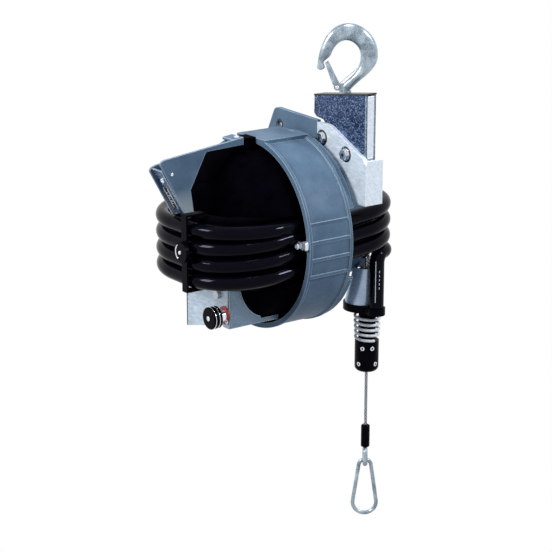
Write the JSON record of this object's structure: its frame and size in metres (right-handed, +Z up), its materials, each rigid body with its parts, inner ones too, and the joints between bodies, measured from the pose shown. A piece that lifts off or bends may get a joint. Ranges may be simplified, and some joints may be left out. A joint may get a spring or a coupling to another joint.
{
  "type": "tool balancer",
  "caption": "Overhead spring balancer with a swivel hook, a round cast housing wrapped in an air hose, a rope with a stop spring, and a snap link for a hand tool.",
  "frame": {"origin": "saddle of the suspension hook, at the top inside of its bowl, where the support bears", "axes": "+Z up; X across the front face; +Y to the back, along the drum axle; the front face looks along -Y"},
  "size_m": [0.3645, 0.4585, 0.9701],
  "materials": {
    "casting": "satin painted",
    "zinc": "bright zinc plate",
    "galvanised": "galvanised, spangled",
    "black_plastic": "gloss",
    "hose_black": "smooth, glossy",
    "white_coat": "plastic coated",
    "red_plastic": "satin",
    "chrome": "polished",
    "steel": "machined",
    "spring_steel": "blued",
    "rope_steel": "stranded",
    "brass": "machined"
  },
  "bodies": {
    "hook": {"crane_hook": "zinc", "hook_nut": "zinc", "latch_pin": "zinc"},
    "latch": {"hook_latch": "zinc"},
    "housing": {"cast_ring": "casting", "front_cover": "black_plastic", "hose_cradle": "casting", "back_frame": "casting", "drum_housing": "casting", "suspension_plate": "zinc", "hanger": "galvanised", "hanger_spacer": "zinc", "suspension_bolts": "zinc", "lower_bracket": "casting", "lock_ring": "red_plastic", "lock_sleeve": "chrome", "scale_arm": "casting", "scale_insert": "black_plastic", "hose": "hose_black", "hose_keeper": "black_plastic", "keeper_cap": "black_plastic", "rope_guide": "casting", "guide_mouth": "brass", "guide_band": "black_plastic", "axle": "steel", "main_bearing": "steel"},
    "drum": {"rope_drum": "steel", "drive_sleeve": "steel", "spring_cassette": "steel", "mainspring": "spring_steel"},
    "arbor": {"spring_arbor": "steel", "arbor_gear": "brass"},
    "tension_screw": {"tension_shaft": "steel"},
    "lock": {"lock_knob": "black_plastic", "lock_pin": "steel"},
    "rope_end": {"load_rope": "rope_steel", "rope_tail": "rope_steel", "stop_spring": "white_coat", "stop_core": "black_plastic", "buffer_block": "black_plastic", "ferrule": "black_plastic", "rope_eye": "zinc"},
    "link": {"carabiner": "zinc"},
    "link_gate": {"carabiner_gate": "zinc"}
  },
  "joints": [
    {"name": "hook_swivel", "type": "hinge", "parent": "hook", "child": "housing", "pos_m": [0, 0, 0], "axis": [0, 0, 1], "continuous": true},
    {"name": "latch_open", "type": "hinge", "parent": "hook", "child": "latch", "pos_m": [-0.00882, -0.01213, -0.084], "axis": [-0.809, 0.5878, 0], "range_deg": [0, 35], "stiffness_Nm_per_rad": 0.05, "springref_deg": -45.84},
    {"name": "drum_spin", "type": "hinge", "parent": "housing", "child": "drum", "pos_m": [-0.098, 0.028, -0.355], "axis": [0, 1, 0], "range_deg": [0, 1145], "stiffness_Nm_per_rad": 0.5, "springref_deg": -687.55},
    {"name": "arbor_turn", "type": "hinge", "parent": "housing", "child": "arbor", "pos_m": [-0.098, -0.192, -0.355], "axis": [0, 1, 0], "range_deg": [-360, 360]},
    {"name": "tension_turn", "type": "hinge", "parent": "housing", "child": "tension_screw", "pos_m": [-0.048, -0.207, -0.443], "axis": [0, 1, 0], "range_deg": [-1850, 1850]},
    {"name": "lock_pull", "type": "slide", "parent": "housing", "child": "lock", "axis": [0, -1, 0], "range_m": [0, 0.008], "stiffness_N_per_m": 600, "springref_m": -0.012},
    {"name": "rope_travel", "type": "slide", "parent": "housing", "child": "rope_end", "axis": [0, 0, -1], "range_m": [0, 2], "deforming": ["load_rope"]},
    {"name": "link_swing", "type": "hinge", "parent": "rope_end", "child": "link", "pos_m": [0.002, 0.058, -0.8318], "axis": [0.809, -0.5878, 0], "range_deg": [-25, 25]},
    {"name": "gate_open", "type": "hinge", "parent": "link", "child": "link_gate", "pos_m": [-0.00573, 0.04736, -0.8424], "axis": [0.809, -0.5878, 0], "range_deg": [0, 14], "stiffness_Nm_per_rad": 0.05, "springref_deg": -34.38}
  ],
  "couplings": [
    {"joint": "rope_travel", "follows": "drum_spin", "m_per_rad": 0.1},
    {"joint": "tension_turn", "follows": "arbor_turn", "ratio": -5.0561}
  ]
}
